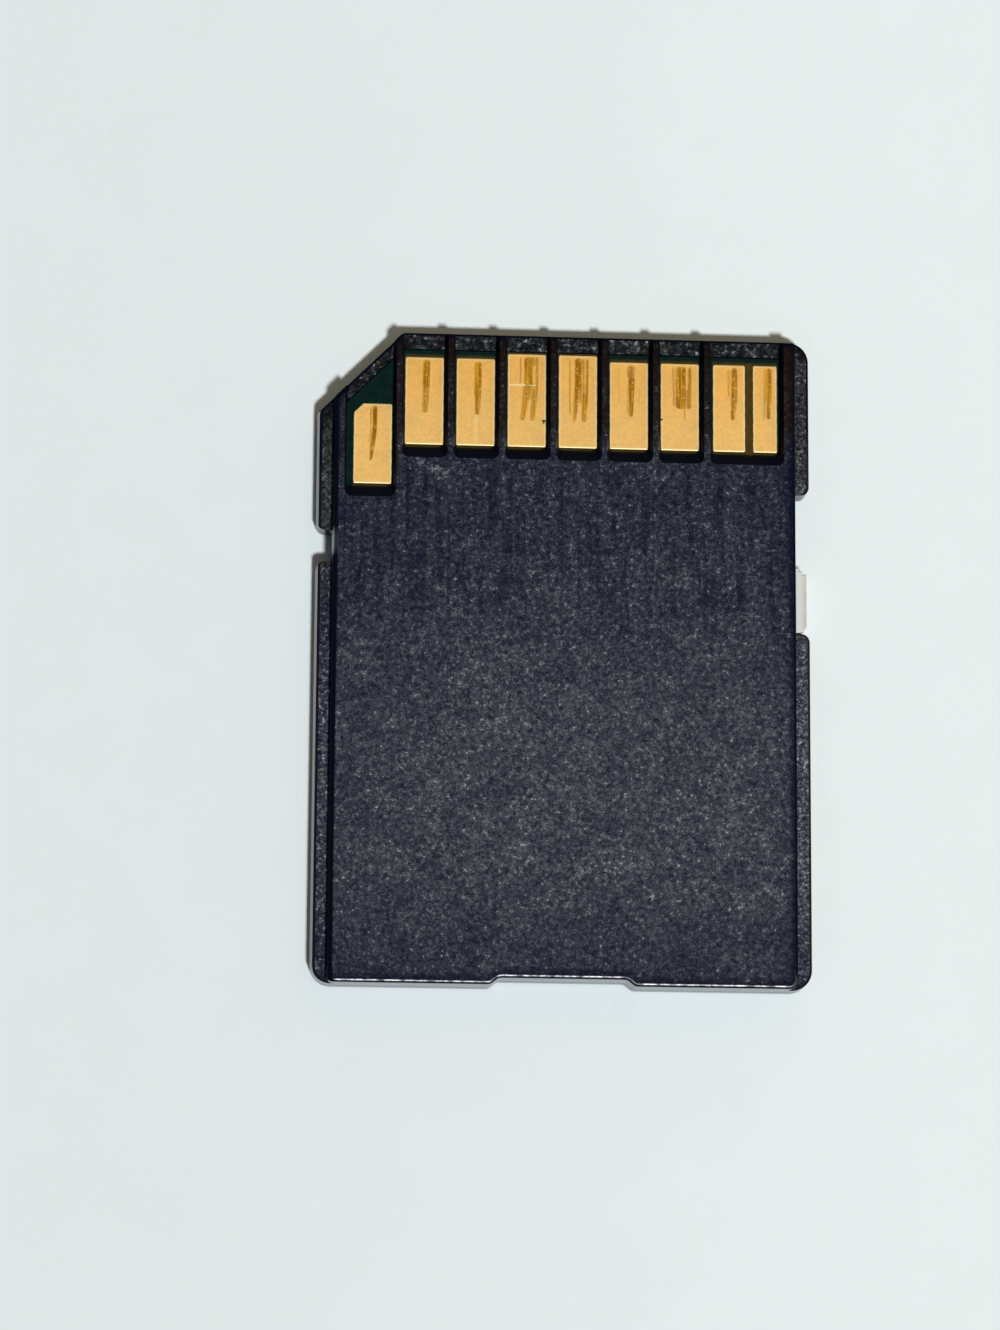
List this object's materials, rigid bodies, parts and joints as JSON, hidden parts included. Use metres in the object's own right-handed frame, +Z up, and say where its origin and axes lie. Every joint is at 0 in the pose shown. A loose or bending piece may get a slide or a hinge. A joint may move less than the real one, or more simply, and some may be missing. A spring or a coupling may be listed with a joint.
{
  "type": "memory card",
  "caption": "Flat rectangular flash memory card with a keyed corner, guide rails, gold contacts in open windows and a sliding write-protect switch.",
  "frame": {"origin": "middle of the card's footprint on the surface that its label side lies on", "axes": "+Y to the contact end, +X to the slider's edge seen from the contact side, +Z up out of the contact side"},
  "size_m": [0.024, 0.032, 0.0021],
  "materials": {
    "cover_plastic": "dark moulded plastic with a fine spark-eroded grain on the flat faces and smooth edges",
    "slider_plastic": "plain off-white moulded plastic",
    "solder_mask": "dark green solder mask",
    "contact_gold": "gold plating with dull wear streaks from the reader's springs",
    "chip_package": "black moulding compound",
    "lead_tin": "tinned leads",
    "capacitor_ceramic": "brown ceramic with tinned ends",
    "resistor_ceramic": "black glazed ceramic with tinned ends"
  },
  "bodies": {
    "card": {"front_cover": "cover_plastic", "back_cover": "cover_plastic", "circuit_board": "solder_mask", "contact_pad_1": "contact_gold", "contact_pad_2": "contact_gold", "contact_pad_3": "contact_gold", "contact_pad_4": "contact_gold", "contact_pad_5": "contact_gold", "contact_pad_6": "contact_gold", "contact_pad_7": "contact_gold", "contact_pad_8": "contact_gold", "contact_pad_9": "contact_gold", "flash_memory_chip": "chip_package", "flash_memory_leads": "lead_tin", "controller_chip": "chip_package", "capacitor_1": "capacitor_ceramic", "capacitor_2": "capacitor_ceramic", "capacitor_3": "capacitor_ceramic", "capacitor_4": "capacitor_ceramic", "resistor_1": "resistor_ceramic", "resistor_2": "resistor_ceramic", "resistor_3": "resistor_ceramic", "resistor_4": "resistor_ceramic"},
    "slider": {"write_protect_slider": "slider_plastic"}
  },
  "joints": [
    {"name": "write_protect_slide", "type": "slide", "parent": "card", "child": "slider", "axis": [0, 1, 0], "range_m": [0, 0.00352]}
  ]
}
